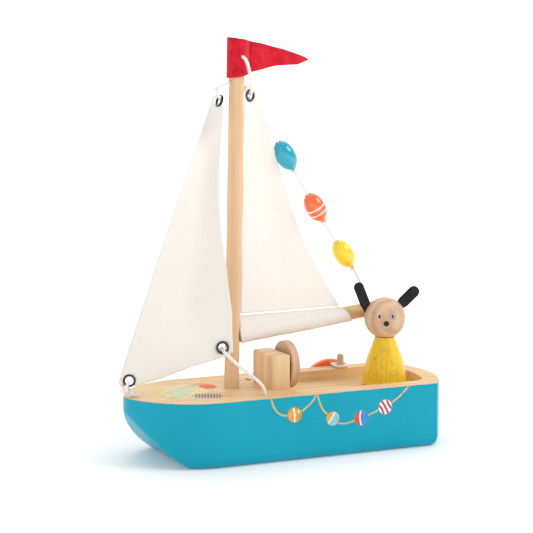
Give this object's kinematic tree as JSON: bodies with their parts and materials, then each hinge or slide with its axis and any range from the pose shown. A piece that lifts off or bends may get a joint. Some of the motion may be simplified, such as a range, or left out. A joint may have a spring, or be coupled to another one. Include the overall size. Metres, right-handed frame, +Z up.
{
  "type": "toy sailing boat",
  "caption": "Wooden toy sailing boat with a turning mast and boom, cotton sails, bead garland, helm wheel, lifebuoy on a peg and a lift-out peg figure.",
  "frame": {"origin": "middle of the hull's flat bottom", "axes": "+Z up along the mast, -Y towards the bow, +X to port"},
  "size_m": [0.1132, 0.2726, 0.3307],
  "materials": {
    "hull_paint": "satin turquoise paint on the sides and bottom, bare deck and cockpit",
    "beech": "fine sanded",
    "beech_wheel": "fine sanded",
    "canvas": "plain weave",
    "felt_red": "felt",
    "felt_black": "felt",
    "cord": "twisted cotton",
    "eyelet": "gloss black",
    "bead_teal": "gloss lacquer",
    "bead_orange": "gloss lacquer",
    "bead_yellow": "gloss lacquer",
    "orange_paint": "satin paint",
    "yellow_paint": "satin paint",
    "face_wood": "fine sanded"
  },
  "bodies": {
    "hull": {"hull": "hull_paint", "helm_block": "beech", "helm_dowels": "beech", "helm_axle": "beech", "lifebuoy_peg": "beech", "jib": "canvas", "jib_eyelets": "eyelet", "jib_washers": "eyelet", "jib_halyard": "cord", "jib_tack_cord": "cord", "jib_sheet": "cord", "jib_knots": "cord"},
    "rig": {"mast": "beech", "boom": "beech", "boom_dowel": "beech", "mainsail": "canvas", "mainsail_eyelet": "eyelet", "mainsail_washer": "eyelet", "pennant": "felt_red", "main_halyard": "cord", "garland_cord": "cord"},
    "helm": {"helm_wheel": "beech_wheel"},
    "bead_teal_body": {"bead_teal": "bead_teal"},
    "bead_orange_body": {"bead_orange": "bead_orange"},
    "bead_yellow_body": {"bead_yellow": "bead_yellow"},
    "captain": {"captain_body": "yellow_paint", "captain_neck_dowel": "beech"},
    "captain_head_body": {"captain_head": "face_wood", "captain_ear_left": "felt_black", "captain_ear_right": "felt_black"},
    "lifebuoy_loop": {"lifebuoy_cord": "cord"},
    "lifebuoy_disc": {"lifebuoy": "orange_paint", "lifebuoy_knot": "cord"}
  },
  "joints": [
    {"name": "mast_turn", "type": "hinge", "parent": "hull", "child": "rig", "pos_m": [0, -0.0428, 0.0525], "axis": [0, 0.0201, 0.9998], "range_deg": [0, 60]},
    {"name": "helm_spin", "type": "hinge", "parent": "hull", "child": "helm", "pos_m": [0.006, 0.0027, 0.0691], "axis": [0, 1, 0], "continuous": true},
    {"name": "bead_teal_spin", "type": "hinge", "parent": "rig", "child": "bead_teal_body", "pos_m": [-0.01133, 0.00963, 0.23561], "axis": [-0.072, 0.5411, -0.8379], "continuous": true},
    {"name": "bead_orange_spin", "type": "hinge", "parent": "rig", "child": "bead_orange_body", "pos_m": [-0.01545, 0.03847, 0.19206], "axis": [-0.0856, 0.5601, -0.824], "continuous": true},
    {"name": "bead_yellow_spin", "type": "hinge", "parent": "rig", "child": "bead_yellow_body", "pos_m": [-0.01974, 0.06658, 0.15203], "axis": [-0.0891, 0.585, -0.8061], "continuous": true},
    {"name": "captain_lift", "type": "slide", "parent": "hull", "child": "captain", "axis": [0, 0, 1], "range_m": [0, 0.12]},
    {"name": "head_turn", "type": "hinge", "parent": "captain", "child": "captain_head_body", "pos_m": [0.0008, 0.0946, 0.0997], "axis": [0, 0, 1], "range_deg": [-25, 75]},
    {"name": "lifebuoy_lift", "type": "slide", "parent": "hull", "child": "lifebuoy_loop", "axis": [0, 0, 1], "range_m": [0, 0.04]},
    {"name": "lifebuoy_swing", "type": "hinge", "parent": "lifebuoy_loop", "child": "lifebuoy_disc", "pos_m": [-0.0509, 0.072, 0.054], "axis": [0, 1, 0], "range_deg": [0, 30]}
  ]
}
